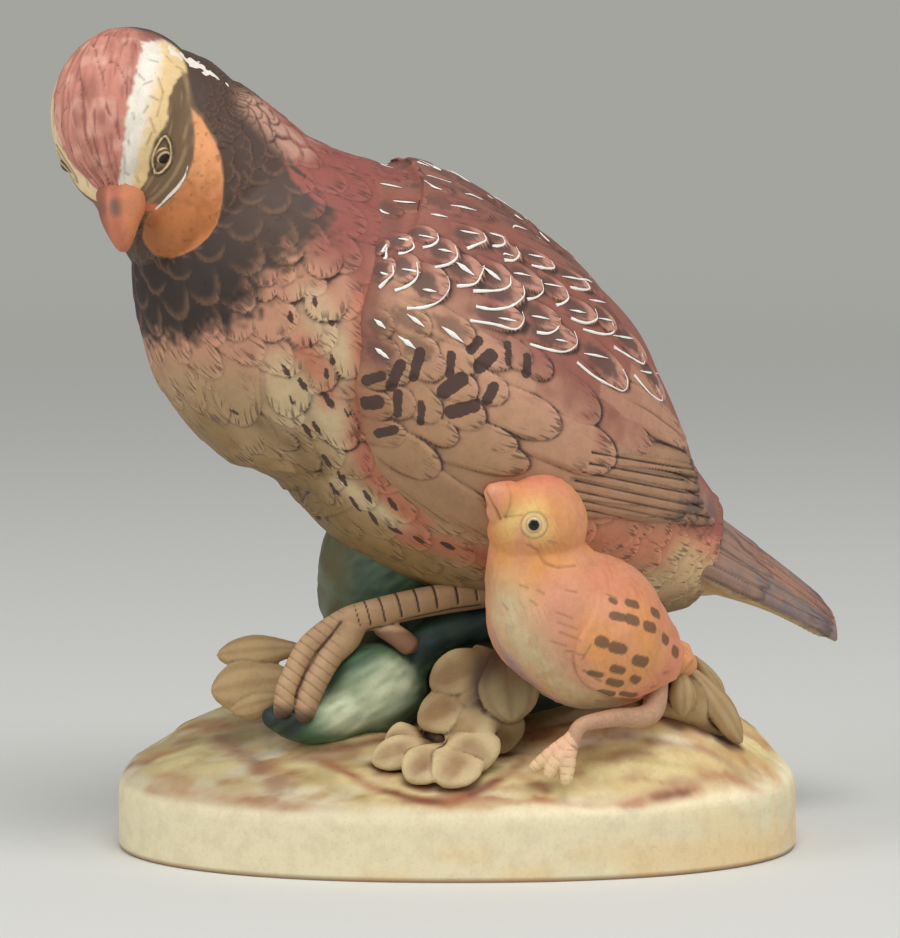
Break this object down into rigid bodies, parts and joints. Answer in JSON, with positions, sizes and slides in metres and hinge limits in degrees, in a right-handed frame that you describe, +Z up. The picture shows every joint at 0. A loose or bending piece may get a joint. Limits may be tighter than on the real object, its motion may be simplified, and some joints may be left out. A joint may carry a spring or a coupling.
{
  "type": "bird figurine",
  "caption": "Matt painted porcelain figurine of a quail bending its head over its chick, standing on an oval base with modelled leaves.",
  "frame": {"origin": "centre of the oval base's flat underside, where the figurine stands", "axes": "+Z up; +X along the base towards the quail's tail; -Y is the side the chick stands on and the quail's left"},
  "size_m": [0.1618, 0.0875, 0.1683],
  "materials": {
    "painted_bisque": "matt hand-painted bisque porcelain"
  },
  "bodies": {
    "root": {"figurine": "painted_bisque"}
  },
  "joints": []
}
